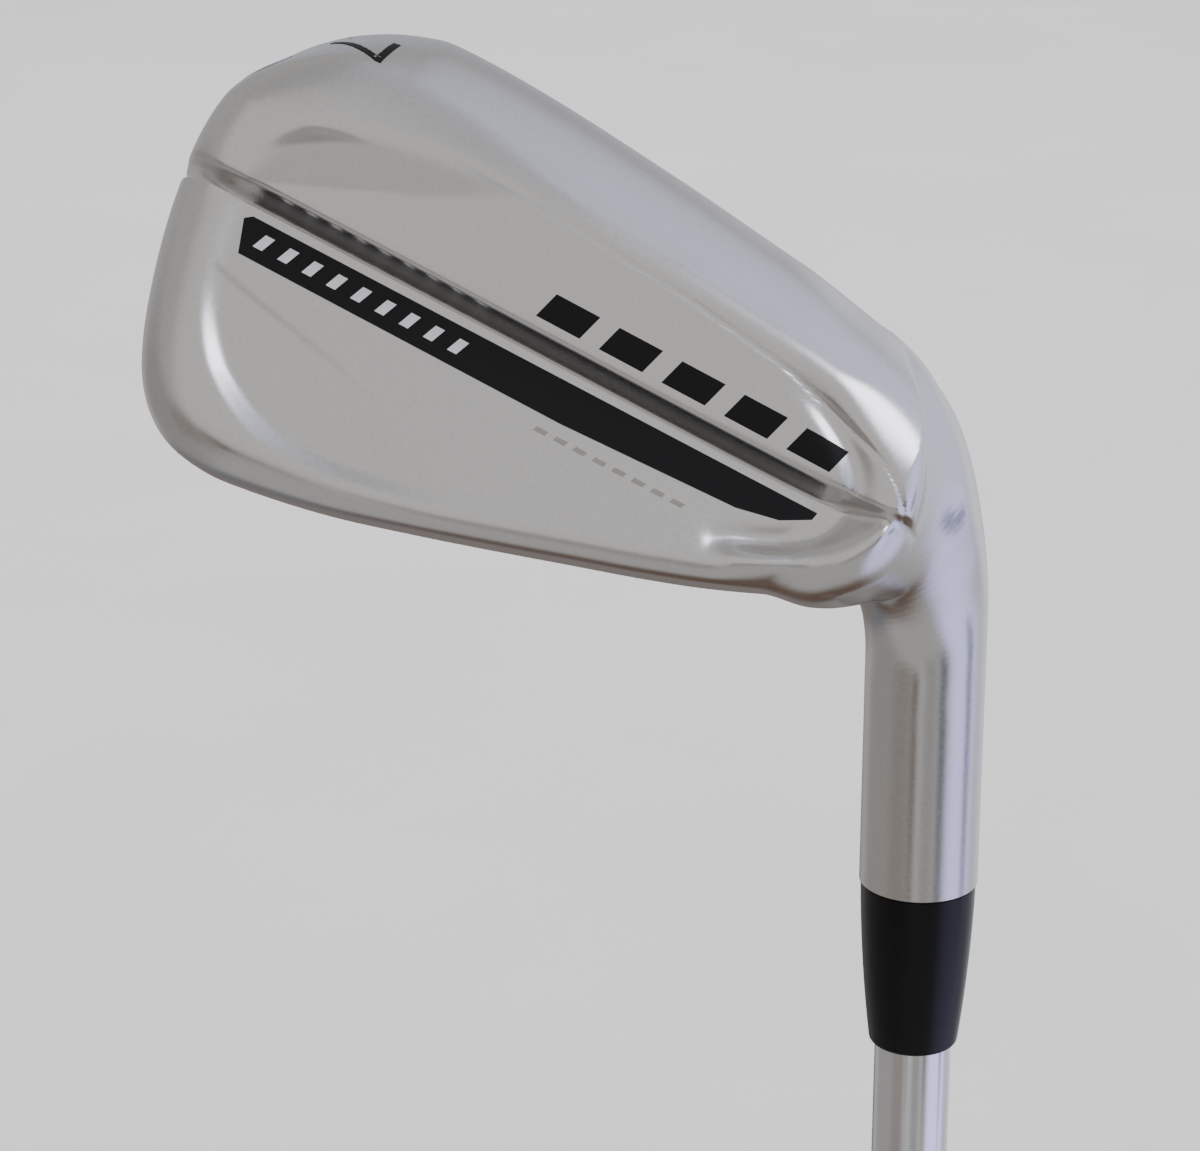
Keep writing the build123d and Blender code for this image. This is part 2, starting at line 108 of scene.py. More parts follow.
def chart(fn, low, high, cell=0.2):
    """A function of two numbers sampled on a grid, read back by bilinear interpolation."""
    xs, ys = (np.arange(a, b + cell, cell, dtype=np.float32) for a, b in zip(low, high))
    table = fn(xs[:, None], ys[None, :]).astype(np.float32)

    def read(x, y):
        i = np.clip((x - low[0]) / cell, 0, len(xs) - 1.01)
        j = np.clip((y - low[1]) / cell, 0, len(ys) - 1.01)
        i0, j0 = i.astype(np.int32), j.astype(np.int32)
        a, b = (i - i0).astype(np.float32), (j - j0).astype(np.float32)
        near = table[i0, j0] * (1 - a) + table[i0 + 1, j0] * a
        far = table[i0, j0 + 1] * (1 - a) + table[i0 + 1, j0 + 1] * a
        return near * (1 - b) + far * b

    return read


def steepness(fn, e=0.15):
    """Length of the gradient of z - fn(x, y)."""
    def measure(x, y):
        dx = (fn(x + e, y) - fn(x - e, y)) / (2 * e)
        dy = (fn(x, y + e) - fn(x, y - e)) / (2 * e)
        return np.sqrt(1 + dx * dx + dy * dy)

    return measure


def step01(x):
    """A smooth step from 0 to 1 while x goes from 0 to 1."""
    x = np.clip(x, 0, 1)
    return x * x * (3 - 2 * x)


# ---------------------------------------------------------------- the head as a distance field
# u runs from heel to toe, v up the face from the leading edge, w from the face into the head.
# Edge of the blade seen square to the face: u, v
OUTLINE = smooth_curve([
    (40, -12), (60, -8), (68.5, 4.5), (72.8, 12.8), (76.3, 20.9), (76.9, 28.5), (75.7, 36.7), (72.9, 46.3),
    (69.8, 52.2), (65.6, 55.7), (60.4, 56.9), (54.9, 56.5), (46.2, 54.9), (36.7, 52.3), (28.4, 49.8),
    (20.7, 47.4), (13.0, 45.0), (5.9, 42.5), (-1.5, 39.3), (-6.6, 36.3), (-9.4, 31.8), (-9.2, 25.5),
    (-6.0, 18.5), (0.0, 8.0), (8.0, -10.0),
])
# Outer side of the hosel and the heel, seen from behind: x, z
HEEL = smooth_curve([
    (12, 830), (12, 882), (9.2, 896), (7.6, 904), (6.4, 910), (4.9, 917), (2.8, 923.7), (-0.1, 928.9),
    (-4.6, 933.2), (-9.8, 937.4), (-16, 944.0), (-26, 952.0), (-42, 963.5), (-82, 990),
])
# Foot of the step between the plate and the muscle panel: u, v
STEP = smooth_curve([(-14, 27.5), (-7, 27.9), (-3, 28.3), (8, 28.75), (47, 28.9), (82, 29.1)])
# Edge between the muscle panel and the sole: u, v
TRAIL = smooth_curve([
    (-9.5, 31.5), (-8.9, 28.7), (-6.3, 25.5), (-3.6, 23.7), (0.3, 22.3), (5.2, 20.9), (10.4, 19.7),
    (16, 19), (23.5, 18.1), (29.6, 17.7), (38, 17.1), (44.7, 16.8), (54.1, 16.6), (63.1, 16.7),
    (67.1, 17.2), (70.9, 18.9), (74.9, 21.8), (80, 26),
])
# Lowest line of the sole: u, v
SOLE = smooth_curve([
    (-24, 33), (-19, 24.5), (-14.7, 18), (-10.1, 12.5), (-6.4, 10.1), (-1.7, 8.1), (6.6, 6.3),
    (18.3, 4.9), (29.2, 3.7), (45, 2.4), (56.6, 2.2), (61, 3.1), (65.5, 5.2), (69.9, 8.6), (75, 14.8),
    (82, 26),
])
# Sole profile: w, height where the muscle is 13 tall, and how much of any other height is added
PROFILE = np.array([
    (-1, 1.9, 0), (0, 0.9, 0), (1.5, 0.4, 0), (3.6, 0.72, 0), (6, 1.45, 0), (8.6, 2.7, 0),
    (11.5, 4.75, 0.2), (14.2, 7.9, 0.55), (15.4, 10.3, 0.78), (16.2, 13, 1.0), (18, 22, 1.6),
])
PROFILE_HEIGHT = smooth_curve(PROFILE[:, (0, 1)])
PROFILE_SHARE = smooth_curve(PROFILE[:, (0, 2)])

# Inner edge of the raised rim: u, v
RIM = smooth_curve([
    (16, 17.6), (30, 17.2), (44, 17.4), (51, 18.0), (56.4, 18.8), (60.5, 19.6), (64.5, 21.2), (67.5, 23.3),
    (69.6, 26.2), (70.3, 29.6), (69.8, 34.8), (68.6, 39.3), (66.4, 43.9), (63.0, 47.8), (58.0, 50.6),
    (52, 51.6), (44, 50.6), (30, 46.8), (14, 42.2),
])
# Creases that bound the facets by the toe, on the panel and on the plate: u, v
CREASE_LOW = smooth_curve([
    (82, 32.6), (70.7, 29.1), (62.5, 25.9), (57.1, 23.6), (52.9, 22.1), (44.5, 18.2), (40, 16.0),
])
CREASE_HIGH = smooth_curve([
    (78, 34.4), (68.5, 37.9), (59.4, 39.9), (53.0, 41.2), (46.2, 43.3), (40, 46), (30, 52),
])
# Raised line round the heel end of the back, and the shallow hollow inside it: u, v
RIDGE = smooth_curve([
    (10.4, 19.9), (5.2, 21.1), (0.3, 22.6), (-3.2, 24.3), (-5.4, 26.4), (-6.5, 29.0), (-6.0, 32.0),
    (-3.8, 35.0), (0.5, 37.6), (6, 39.6),
])
COVE = smooth_curve([
    (10.5, 20.6), (6.0, 21.6), (2.2, 23.3), (-0.6, 25.4), (-2.4, 28.0), (-2.4, 31.0), (-0.4, 33.8),
    (3.5, 36.2), (9, 38.4),
])
PLATE_DEPTH = 8.5  # from the face to the plate above the step, at PLATE_FOOT
PLATE_TAPER = 0.055  # lost per millimetre up the plate
PLATE_FOOT = 29.8
PANEL_DEPTH = 12.8  # from the face to the muscle panel, at the step
PANEL_SWELL = 0.28  # gained per millimetre from the step to the sole
STEP_RUN = 1.6  # height the step takes to fall from panel to plate
FACE_SUNK = 0.15  # the face plate stands this far proud of the metal round it
LEADING_ROUND = 1.6
RIM_ROUND = 0.9
HEEL_ROUND = 1.6


def back_depth(u, v):
    """Thickness of the head behind the face at u, v."""
    foot = np.interp(u, *STEP.T)
    trail = np.interp(u, *TRAIL.T)
    rim = signed(u, v, RIM)
    inside = step01((1.5 - rim) / 3.0)
    plate = PLATE_DEPTH - PLATE_TAPER * (v - PLATE_FOOT)
    high = signed(u, v, CREASE_HIGH)
    raised = 0.22 * (1 - inside) * step01((u - 20) / 30)
    plate = plate - np.minimum(0.05 * np.maximum(high, 0), 0.4) * inside + raised
    panel = PANEL_DEPTH + PANEL_SWELL * (foot - v)
    low = np.maximum(-signed(u, v, CREASE_LOW), 0)
    panel = panel - np.minimum(0.21 * low, 1.3) * inside * step01((u - 42) / 14)
    panel = panel - 0.9 * step01((u - 66) / 12)
    panel = panel - 0.16 * np.exp(-(((v - trail - 0.6) / 0.35) ** 2)) * step01((60 - u) / 12)
    plate = plate + 2.6 * step01((-1 - u) / 7)
    fall = (v - foot) / STEP_RUN
    reach = np.clip(0.5 * (fall + np.sqrt(fall * fall + 0.02)), 0, 1)
    depth = plate + (panel - plate) * (1 - reach) ** 1.9
    cove = signed(u, v, COVE)
    ridge = signed(u, v, RIDGE)
    near = step01((12 - u) / 8)
    depth = depth - near * 0.75 * np.exp(-((cove / 1.5) ** 2))
    lift = 0.2 + step01((v - foot + 1) / 4) * (1.1 - 0.06 * np.maximum(v - foot, 0))
    depth = depth + near * lift * np.exp(-((ridge / 1.7) ** 2))
    return depth


def painted_crease_shade(u, v):
    """Painted shade: the facet by the toe is painted darker, and fine dark lines of painted shade follow the
    two creases.
    """
    low, high, rim = signed(u, v, CREASE_LOW), signed(u, v, CREASE_HIGH), signed(u, v, RIM)
    foot, trail = np.interp(u, *STEP.T), np.interp(u, *TRAIL.T)
    # Painted shade: the facet by the toe is darkened
    painted_facet_shade = step01(-low / 0.5) * step01((0.6 - rim) / 1.6) * step01((u - 41) / 10) * (v < foot)
    painted_shade = 1 - 0.17 * painted_facet_shade
    # Painted shade: fine dark lines along the two creases
    painted_shade = painted_shade - 0.22 * np.exp(-((low / 0.28) ** 2)) * step01((u - 42) / 20) * (rim < 0) * (v < foot)
    painted_shade = painted_shade - 0.24 * np.exp(-((high / 0.3) ** 2)) * step01((u - 44) / 20) * (rim < 0) * (v > foot)
    return painted_shade


def sole_height(u, w):
    """Height of the sole above the leading edge at u, w."""
    low = np.interp(u, *SOLE.T)
    edge = np.interp(u, *TRAIL.T)
    rise = np.maximum(edge - low, 2.0) - 13.0
    front = 36.0 * np.maximum(-1.0 - w, 0)
    return low + front + np.interp(w, *PROFILE_HEIGHT.T) + np.interp(w, *PROFILE_SHARE.T) * rise


def brim_radius(u, v):
    """Radius of the edge between the back and the rim."""
    toeward = step01((u - 34) / 30)
    above = step01((v - 26) / 8)
    return 0.7 + toeward * 3.2 * (1 - above) + above * (1.9 + 2.6 * toeward) + 2.6 * step01((6 - u) / 12)


BLADE = (-45, -3), (82, 66)
FOOT = (-45, -38), (82, 20)
HOSEL = (-82, 860), (48, 990)
back_map = chart(back_depth, *BLADE)
back_slope = chart(steepness(back_depth), *BLADE)
sole_map = chart(sole_height, *FOOT)
sole_slope = chart(steepness(sole_height), *FOOT)
edge_map = chart(lambda u, v: signed(u, v, OUTLINE), *BLADE)
brim_map = chart(brim_radius, *BLADE)
# Painted shade of the head, read back from a grid
painted_shade_map = chart(painted_crease_shade, *BLADE)
heel_map = chart(lambda x, z: signed(x, z, HEEL), *HOSEL)

# The neck is cut by parallel slanted planes; each section is an ellipse.
SLANT = np.array([-0.4217, -0.3815, 0.8233])
TALL = np.array([0.611, 0.553, 0.567])
DEEP = np.cross(SLANT, TALL)
# centre of the section, its half height and half depth
NECK = [
    ((0, 0, 840), 8.38, 6.9), ((0, 0, 880), 8.38, 6.9), ((0, 0, 893), 8.38, 6.9),
    ((-0.05, -0.3, 901), 8.5, 6.95), ((-0.5, -2.5, 908.4), 10.1, 7.1), ((-2.6, -6.6, 914.6), 12.7, 6.6),
    ((-6.6, -9.8, 919.6), 13.6, 5.0), ((-10.9, -10.4, 923.0), 12.4, 3.4), ((-16.2, -9.9, 925.4), 8.0, 1.5),
]
NECK_ROWS = smooth_curve([
    (*(np.array(at) @ np.stack([SLANT, TALL, DEEP]).T), tall, deep) for at, tall, deep in NECK
])


def neck(x, y, z):
    """Distance to the neck, which bends from the hosel back into the heel."""
    along, a, b = (x * d[0] + y * d[1] + z * d[2] for d in (SLANT, TALL, DEEP))
    centre_a, centre_b, tall, deep = (np.interp(along, NECK_ROWS[:, 0], NECK_ROWS[:, k]) for k in (1, 2, 3, 4))
    oval = (np.sqrt(((a - centre_a) / tall) ** 2 + ((b - centre_b) / deep) ** 2) - 1) * deep
    return np.maximum(oval, along - NECK_ROWS[-1, 0])


def field(u, v, w):
    """Distance to the surface of the head, negative inside."""
    back = (w - back_map(u, v)) / back_slope(u, v)
    sole = (sole_map(u, w) - v) / sole_slope(u, w)
    blade = rmax(FACE_SUNK - w, sole, LEADING_ROUND)
    blade = rmax(blade, edge_map(u, v), RIM_ROUND)
    blade = rmax(blade, back, brim_map(u, v))
    x, y, z = (EDGE[k] + u * TOE[k] + v * FACE_UP[k] + w * BACK[k] for k in range(3))
    heel = heel_map(x, z)
    tube = smax(neck(x, y, z), heel, HEEL_ROUND)
    head = -rmax(-blade, -tube, 1.2 + 4.3 * step01((4.0 - u) / 9.0))
    head = smax(head, heel, 1.5)
    return np.maximum(head, HOSEL_CUT - z).astype(np.float32)


def surface_net(fn, low, high, cell):
    """Quads round the zero surface of fn on a grid, pulled onto it, with its normals."""
    axes = [np.arange(a, b + cell, cell, dtype=np.float32) for a, b in zip(low, high)]
    f = fn(axes[0][:, None, None], axes[1][None, :, None], axes[2][None, None, :])
    inside = f < 0
    n = f.shape
    count = np.zeros([k - 1 for k in n], np.int8)
    for i in (0, 1):
        for j in (0, 1):
            for k in (0, 1):
                count += inside[i:n[0] - 1 + i, j:n[1] - 1 + j, k:n[2] - 1 + k]
    cells = np.argwhere((count > 0) & (count < 8))
    index = np.full(count.shape, -1, np.int64)
    index[tuple(cells.T)] = np.arange(len(cells))
    corners = np.array([(i, j, k) for i in (0, 1) for j in (0, 1) for k in (0, 1)])
    values = np.stack([f[tuple((cells + c).T)] for c in corners], 1)
    total = np.zeros((len(cells), 3))
    hits = np.zeros(len(cells))
    for a in range(8):
        for b in range(a + 1, 8):
            if np.abs(corners[a] - corners[b]).sum() != 1:
                continue
            cross = (values[:, a] < 0) != (values[:, b] < 0)
            t = values[:, a] / np.where(cross, values[:, a] - values[:, b], 1)
            point = corners[a] + t[:, None] * (corners[b] - corners[a])
            total += np.where(cross[:, None], point, 0)
            hits += cross
    verts = (cells + total / hits[:, None]) * cell + np.array(low)
    quads = []
    for axis in range(3):
        o1, o2 = (axis + 1) % 3, (axis + 2) % 3
        a = [slice(1, -1)] * 3
        b = [slice(1, -1)] * 3
        a[axis], b[axis] = slice(0, -1), slice(1, None)
        flip = inside[tuple(a)] != inside[tuple(b)]
        at = np.argwhere(flip)
        at[:, o1] += 1
        at[:, o2] += 1
        first = inside[tuple(at.T)]
        ring = []
        for d1, d2 in ((0, 0), (-1, 0), (-1, -1), (0, -1)):
            c = at.copy()
            c[:, o1] += d1
            c[:, o2] += d2
            ring.append(index[tuple(c.T)])
        ring = np.stack(ring, 1)
        quads.append(np.where(first[:, None], ring, ring[:, ::-1]))
    quads = np.concatenate(quads)
    for _ in range(3):
        value, grad = gradient(fn, verts, 0.1)
        move = value[:, None] * grad / np.maximum((grad * grad).sum(1, keepdims=True), 0.05)
        verts = verts - np.clip(move, -0.3 * cell, 0.3 * cell)
    value, grad = gradient(fn, verts, 0.2)
    normals = grad / np.maximum(np.linalg.norm(grad, axis=1, keepdims=True), 1e-6)
    return verts, quads, normals


def gradient(fn, p, e):
    """Value and gradient of fn at the points p, from differences over e."""
    u, v, w = p.T
    g = np.stack([
        fn(u + e, v, w) - fn(u - e, v, w),
        fn(u, v + e, w) - fn(u, v - e, w),
        fn(u, v, w + e) - fn(u, v, w - e),
    ], 1) / (2 * e)
    return fn(u, v, w), g


def add_mesh(name, verts, faces, material, normals=None, smooth=True):
    """A mesh object in the scene, with its own normals if they are given."""
    mesh = bpy.data.meshes.new(name)
    faces = faces.tolist() if isinstance(faces, np.ndarray) else faces
    mesh.from_pydata(np.asarray(verts).tolist(), [], faces)
    mesh.validate()
    mesh.polygons.foreach_set("use_smooth", [smooth] * len(mesh.polygons))
    if normals is not None:
        mesh.normals_split_custom_set_from_vertices(np.asarray(normals).tolist())
    mesh.materials.append(material)
    obj = bpy.data.objects.new(name, mesh)
    bpy.context.scene.collection.objects.link(obj)
    return obj


def material(name, color, rough, metal, bump=0.0, scale=400.0, spread=0.04, specular=0.5):
    """A finish whose colour, roughness and height vary slightly with a fine noise."""
    m = bpy.data.materials.new(name)
    m.use_nodes = True
    nt = m.node_tree
    bsdf = nt.nodes["Principled BSDF"]
    bsdf.inputs["Metallic"].default_value = metal
    bsdf.inputs["Specular IOR Level"].default_value = specular
    coord = nt.nodes.new("ShaderNodeTexCoord")
    noise = nt.nodes.new("ShaderNodeTexNoise")
    noise.inputs["Scale"].default_value = scale
    noise.inputs["Detail"].default_value = 4.0
    nt.links.new(coord.outputs["Object"], noise.inputs["Vector"])
    mix = nt.nodes.new("ShaderNodeMix")
    mix.data_type = "RGBA"
    mix.inputs["A"].default_value = (*[c * 0.92 for c in color], 1)
    mix.inputs["B"].default_value = (*[min(c * 1.06, 1) for c in color], 1)
    nt.links.new(noise.outputs["Fac"], mix.inputs["Factor"])
    nt.links.new(mix.outputs["Result"], bsdf.inputs["Base Color"])
    span = nt.nodes.new("ShaderNodeMapRange")
    span.inputs["To Min"].default_value = max(rough - spread, 0.02)
    span.inputs["To Max"].default_value = rough + spread
    nt.links.new(noise.outputs["Fac"], span.inputs["Value"])
    nt.links.new(span.outputs["Result"], bsdf.inputs["Roughness"])
    if bump:
        b = nt.nodes.new("ShaderNodeBump")
        b.inputs["Strength"].default_value = bump
        b.inputs["Distance"].default_value = 0.0002
        nt.links.new(noise.outputs["Fac"], b.inputs["Height"])
        nt.links.new(b.outputs["Normal"], bsdf.inputs["Normal"])
    return m


steel = material("head_steel", (0.66, 0.65, 0.64), 0.22, 1.0, 0.03, 2500.0)
face_steel = material("face_steel", (0.55, 0.545, 0.54), 0.42, 1.0, 0.2, 3000.0)
dark_metal = material("dark_metal", (0.30, 0.29, 0.28), 0.5, 1.0, 0.2, 900.0)
plug_steel = material("plug_steel", (0.42, 0.42, 0.44), 0.3, 1.0, 0.05, 1500.0)
black_gloss = material("black_gloss", (0.004, 0.004, 0.005), 0.3, 0.0, 0.02, 900.0, 0.04, 0.22)
black_enamel = material("black_enamel", (0.004, 0.004, 0.004), 0.45, 0.0, 0.05, 900.0, 0.04, 0.2)
white_enamel = material("white_enamel", (0.8, 0.8, 0.79), 0.35, 0.0, 0.05, 900.0)
grey_enamel = material("grey_enamel", (0.30, 0.28, 0.24), 0.45, 0.0, 0.05, 900.0)
chrome = material("chrome", (0.80, 0.80, 0.82), 0.05, 1.0, 0.0, 300.0, 0.015)
rubber = material("rubber", (0.02, 0.02, 0.021), 0.75, 0.0, 0.4, 1200.0)
foam = material("foam", (0.62, 0.55, 0.38), 0.9, 0.0, 0.5, 700.0)
tape = material("tape", (0.6, 0.58, 0.5), 0.7, 0.0, 0.2, 500.0)
epoxy = material("epoxy", (0.45, 0.42, 0.3), 0.4, 0.0, 0.1, 500.0)
brass = material("brass", (0.75, 0.56, 0.25), 0.3, 1.0, 0.05, 900.0)
floor_mat = material("floor_paint", (0.72, 0.71, 0.70), 0.9, 0.0, 0.05, 3.0)


def darken_by_painted_shade(look):
    """Multiplies a finish's colour by the painted shade stored on the mesh."""
    nt = look.node_tree
    bsdf = nt.nodes["Principled BSDF"]
    painted_shade = nt.nodes.new("ShaderNodeVertexColor")
    painted_shade.layer_name = "painted_shade"
    mix = nt.nodes.new("ShaderNodeMix")
    mix.data_type = "RGBA"
    mix.blend_type = "MULTIPLY"
    mix.inputs["Factor"].default_value = 1.0
    nt.links.new(bsdf.inputs["Base Color"].links[0].from_socket, mix.inputs["A"])
    nt.links.new(painted_shade.outputs["Color"], mix.inputs["B"])
    nt.links.new(mix.outputs["Result"], bsdf.inputs["Base Color"])


# The head's steel, its colour multiplied by the painted shade
head_steel = material("head_steel_painted_shade", (0.66, 0.65, 0.64), 0.22, 1.0, 0.012, 2500.0)
darken_by_painted_shade(head_steel)

LOOKS = {
    "face_insert": face_steel, "heel_weight": dark_metal, "toe_weight": dark_metal, "foam_core": foam,
    "toe_plug": plug_steel, "back_strip": black_gloss, "strip_tape": tape, "strip_marks": white_enamel,
    "panel_enamel": black_enamel, "sole_numeral": black_enamel, "ferrule": black_gloss, "epoxy_bond": epoxy,
    "tip_plug": brass, "field_marks": grey_enamel, "shaft": chrome, "shaft_band": black_enamel,
    "grip_tape": tape, "grip": rubber, "grip_cap": rubber, "head_body": steel,
}
for name, look in LOOKS.items():
    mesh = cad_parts[name].data
    mesh.materials.clear()
    mesh.materials.append(look)

HEAD_BOX = (-43, -2, -37), (79, 65, 19)
HEAD_CELL = 0.33
verts, quads, normals = surface_net(field, *HEAD_BOX, HEAD_CELL)
head = add_mesh("head", to_world(verts), quads, head_steel, normals @ AXES)
# Painted shade, stored on the head's vertices
painted_shade = painted_shade_map(verts[:, 0], verts[:, 1])
painted_shade_layer = head.data.color_attributes.new("painted_shade", "FLOAT_COLOR", "POINT")
painted_shade_layer.data.foreach_set("color", np.column_stack([painted_shade, painted_shade, painted_shade, np.ones(len(painted_shade))]).ravel())
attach(head, "root")
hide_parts("head_body")


def turned(name, profile, look, sides=96):
    """A closed ring round the shaft from a list of radius and height in millimetres."""
    verts, faces = [], []
    for r, z in profile:
        turns = np.arange(sides) * math.tau / sides
        verts += [(r * math.cos(t) / 1000, r * math.sin(t) / 1000, z / 1000) for t in turns]
    rows = len(profile)
    for i in range(rows):
        a, b = i * sides, ((i + 1) % rows) * sides
        for j in range(sides):
            k = (j + 1) % sides
            faces.append((a + j, a + k, b + k, b + j))
    return add_mesh(name, verts, faces, look)


def shade_smooth_by_angle(piece, degrees):
    """Smooth shading that keeps edges sharper than the angle."""
    edges = {}
    mesh = piece.data
    for poly in mesh.polygons:
        for key in poly.edge_keys:
            edges.setdefault(key, []).append(poly.normal)
    limit = math.cos(math.radians(degrees))
    for edge in mesh.edges:
        pair = edges[edge.key]
        edge.use_edge_sharp = len(pair) == 2 and pair[0].dot(pair[1]) < limit


ring = turned("hosel_end", [
    (HOSEL_RADIUS, HOSEL_CUT + RING_OVERLAP),
    (HOSEL_RADIUS, HOSEL_END + CHAMFER_HEIGHT),
    (HOSEL_RADIUS - CHAMFER_WIDTH, HOSEL_END),
    (BORE_RADIUS, HOSEL_END),
    (BORE_RADIUS, HOSEL_CUT + RING_OVERLAP),
], steel)
shade_smooth_by_angle(ring, 30)
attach(ring, "root")


SLAB_SINK = 0.3


def on_back(name, corner_sets, look, lift, node):
    """Thin slabs lying on the back of the head; each is given by its four corners in u, v."""
    verts, faces = [], []
    n = 9  # points along each side of a slab
    for corners in corner_sets:
        c = np.array(corners, float)
        s, t = np.meshgrid(np.linspace(0, 1, n), np.linspace(0, 1, n), indexing="ij")
        s, t = s.reshape(-1, 1), t.reshape(-1, 1)
        uv = (c[0] * (1 - s) + c[1] * s) * (1 - t) + (c[3] * (1 - s) + c[2] * s) * t
        w = back_map(uv[:, 0], uv[:, 1])
        base = len(verts)
        verts += np.column_stack([uv, w + lift]).tolist()
        verts += np.column_stack([uv, w - SLAB_SINK]).tolist()
        for i in range(n - 1):
            for j in range(n - 1):
                k = base + i * n + j
                faces.append((k, k + n, k + n + 1, k + 1))
        rim = [i * n for i in range(n)] + [(n - 1) * n + j for j in range(1, n)]
        rim += [i * n + n - 1 for i in range(n - 2, -1, -1)] + list(range(n - 2, 0, -1))
        for i, a in enumerate(rim):
            b = rim[(i + 1) % len(rim)]
            faces.append((base + b, base + a, base + a + n * n, base + b + n * n))
    piece = add_mesh(name, to_world(np.array(verts)), faces, look, smooth=False)
    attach(piece, "root")
    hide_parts(node)


INLAY_PROUD = 0.05


def inlay(name, shape, low, high, cell, look, slot, node):
    """A piece let into the head: the part of the head inside a shape, standing a hair proud."""
    def solid(u, v, w):
        return np.maximum(field(u, v, w) - INLAY_PROUD, shape(u, v, w))

    p, q, _ = surface_net(solid, low, high, cell)
    piece = add_mesh(name, to_world(p), q, look)
    shade_smooth_by_angle(piece, 35)
    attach(piece, "root")
    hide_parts(node)


def polygon_distance(x, y, corners):
    """Distance to a closed polygon given clockwise, negative inside."""
    return -signed(x, y, np.array(corners + corners[:1], float))


PLUG_RADIUS = 3.6
PLUG_DEPTH = 2.5
SOCKET_RADIUS = 1.4
SOCKET_DEPTH = 0.9
PLUG_AT = np.array([73.0, 17.4, 8.6])
PLUG_AXIS = np.array([0.93, -0.36, 0.08]) / np.linalg.norm([0.93, -0.36, 0.08])


def plug_shape(u, v, w):
    """A round plug with a socket in its head."""
    du, dv, dw = u - PLUG_AT[0], v - PLUG_AT[1], w - PLUG_AT[2]
    along = du * PLUG_AXIS[0] + dv * PLUG_AXIS[1] + dw * PLUG_AXIS[2]
    off = np.sqrt(np.maximum(du * du + dv * dv + dw * dw - along * along, 0))
    solid = np.maximum(off - PLUG_RADIUS, -along - PLUG_DEPTH)
    return np.maximum(solid, -np.maximum(off - SOCKET_RADIUS, -along - SOCKET_DEPTH))


# The numeral lies on a slanted plane: along its bar, then along its leg
SEVEN = [(-0.3, 0.3), (2.5, 7.2), (3.4, 6.9), (0.8, 0.5), (4.7, 0.5), (4.7, -0.4), (-0.3, -0.4)]
SEVEN_AT = np.array([63.87, 11.42, 13.83])
SEVEN_BAR = np.array([-0.188, -0.734, -0.653])
SEVEN_LEG = np.array([0.853, 0.207, -0.478])
SEVEN_OUT = np.cross(SEVEN_BAR, SEVEN_LEG)


def seven_shape(u, v, w):
    """The numeral as a block that reaches through the curved sole."""
    offset = [p - centre for p, centre in zip((u, v, w), SEVEN_AT)]
    bar, leg, out = (sum(p * a for p, a in zip(offset, d)) for d in (SEVEN_BAR, SEVEN_LEG, SEVEN_OUT))
    return np.maximum(polygon_distance(bar, leg, SEVEN), np.abs(out - 0.4) - 1.5)


PLUG_BOX = (68, 11, 4), (78, 22, 14)
SEVEN_BOX = (61, 6.5, 7), (71.5, 14, 16.5)
inlay("toe_screw", plug_shape, *PLUG_BOX, 0.25, plug_steel, "plug_steel", "toe_plug")
inlay("sole_seven", seven_shape, *SEVEN_BOX, 0.14, black_enamel, "enamel_black", "sole_numeral")

# Plain slanted blocks on the panel and dashes on the plate, by their corners in u, v
BLOCKS = [
    [(u, 24.65), (u + 5.2, 24.65), (u + 6.1, 27.55), (u + 0.9, 27.55)] for u in (0.6, 8.1, 15.6, 23.1, 30.6)
]
on_back("panel_blocks", BLOCKS, black_enamel, 0.04, "panel_enamel")
DASHES = [
    [(u, 36.95), (u + 1.4, 36.95), (u + 1.6, 37.5), (u + 0.2, 37.5)] for u in np.arange(8) * 2.35 + 13.2
]
on_back("field_dashes", DASHES, grey_enamel, 0.03, "field_marks")

# ---------------------------------------------------------------- stage, lights and camera
FLOOR = [(-7, -0.5, 0), (7, -0.5, 0), (7, 9, 0), (-7, 9, 0)]
floor = add_mesh("floor", FLOOR, [(0, 1, 2, 3)], floor_mat, smooth=False)
floor.visible_glossy = False


# A wide soft ceiling lamp; it points straight down and the metal doesn't mirror it
lamp = bpy.data.lights.new("ceiling", "AREA")
lamp.shape = "RECTANGLE"
lamp.size, lamp.size_y = 8.0, 8.0
lamp.energy = 380
lamp.color = (1.0, 0.99, 0.98)
ceiling = bpy.data.objects.new("ceiling", lamp)
ceiling.location = (0.0, 3.0, 4.0)
ceiling.visible_glossy = False
bpy.context.scene.collection.objects.link(ceiling)

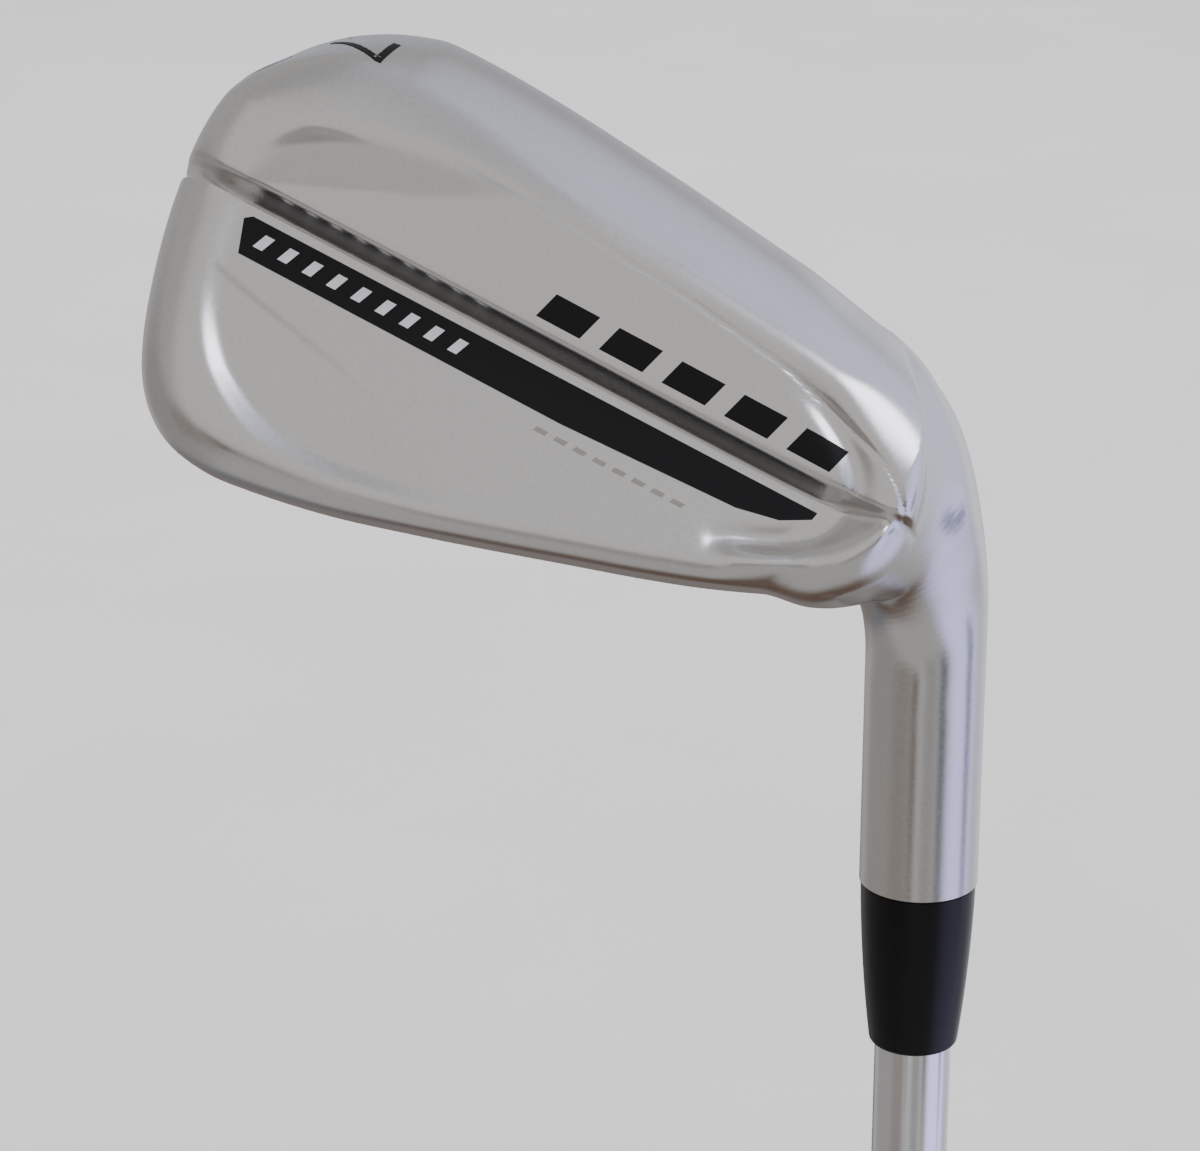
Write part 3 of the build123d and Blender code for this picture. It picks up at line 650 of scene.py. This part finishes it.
# The room is a base colour with soft round patches of light and shade, painted one over another
world = bpy.data.worlds.new("room")
world.use_nodes = True
tree = world.node_tree
direction = tree.nodes.new("ShaderNodeTexCoord").outputs["Generated"]
paint = None
ROOM = [
    # colour, azimuth (0 = behind the club, 90 = right, 180 = behind the camera), elevation,
    # angle from the middle inside which it is full, and outside which it is gone
    ((0.50, 0.495, 0.49), 0, 0, 0, 0),
    ((0.72, 0.71, 0.70), 178, 14, 15, 52),
    ((0.46, 0.46, 0.46), 200, 75, 5, 30),
    ((0.98, 1.02, 1.30), 84, 16, 25, 68),
    ((1.15, 1.15, 1.85), 100, -28, 14, 34),
    ((1.00, 1.02, 1.12), 28, -8, 8, 32),
    ((0.52, 0.54, 0.60), 345, 15, 8, 34),
    ((0.22, 0.22, 0.235), 325, -58, 10, 34),
    ((0.24, 0.21, 0.20), 345, -38, 9, 22),
    ((0.15, 0.10, 0.075), 40, -76, 12, 32),
    ((0.37, 0.355, 0.345), 265, -21, 24, 46),
    ((0.38, 0.37, 0.36), 168, -21, 6, 16),
    ((0.32, 0.29, 0.27), 222, -21, 8, 24),
    ((0.11, 0.07, 0.045), 197, -20, 2, 9.5),
    ((0.05, 0.08, 0.13), 143, -20, 3, 10),
    ((0.22, 0.24, 0.33), 86, -21, 2, 10),
    ((5.5, 5.6, 6.2), 128, 28, 5, 14),
]
for color, turn, rise, inner, outer in ROOM:
    if paint is None:
        paint = tree.nodes.new("ShaderNodeRGB").outputs[0]
        paint.default_value = (*color, 1)
        continue
    turn, rise = math.radians(turn), math.radians(rise)
    dot = tree.nodes.new("ShaderNodeVectorMath")
    dot.operation = "DOT_PRODUCT"
    tree.links.new(direction, dot.inputs[0])
    level = math.cos(rise)
    dot.inputs[1].default_value = (math.sin(turn) * level, math.cos(turn) * level, math.sin(rise))
    span = tree.nodes.new("ShaderNodeMapRange")
    span.interpolation_type = "SMOOTHSTEP"
    span.inputs["From Min"].default_value = math.cos(math.radians(outer))
    span.inputs["From Max"].default_value = math.cos(math.radians(inner))
    tree.links.new(dot.outputs["Value"], span.inputs["Value"])
    mix = tree.nodes.new("ShaderNodeMix")
    mix.data_type = "RGBA"
    tree.links.new(span.outputs["Result"], mix.inputs["Factor"])
    tree.links.new(paint, mix.inputs["A"])
    mix.inputs["B"].default_value = (*color, 1)
    paint = mix.outputs["Result"]
tree.links.new(paint, tree.nodes["Background"].inputs["Color"])
bpy.context.scene.world = world

CAMERA_AT = (0.0020, -0.3746, 1.0380)
azimuth, elevation = math.radians(6.0), math.radians(19.8)
level = math.cos(elevation)
away = Vector((math.sin(azimuth) * level, -math.cos(azimuth) * level, math.sin(elevation)))
right = Vector((math.cos(azimuth), math.sin(azimuth), 0.0))
above = away.cross(right)
camera_data = bpy.data.cameras.new("camera")
camera_data.lens = 105.0
camera_data.sensor_width = 36.0
camera_data.dof.use_dof = False
camera_data.clip_start = 0.01
camera = bpy.data.objects.new("camera", camera_data)
camera.matrix_world = Matrix((
    (right.x, above.x, away.x, CAMERA_AT[0]),
    (right.y, above.y, away.y, CAMERA_AT[1]),
    (right.z, above.z, away.z, CAMERA_AT[2]),
    (0, 0, 0, 1),
))
bpy.context.scene.collection.objects.link(camera)
bpy.context.scene.camera = camera
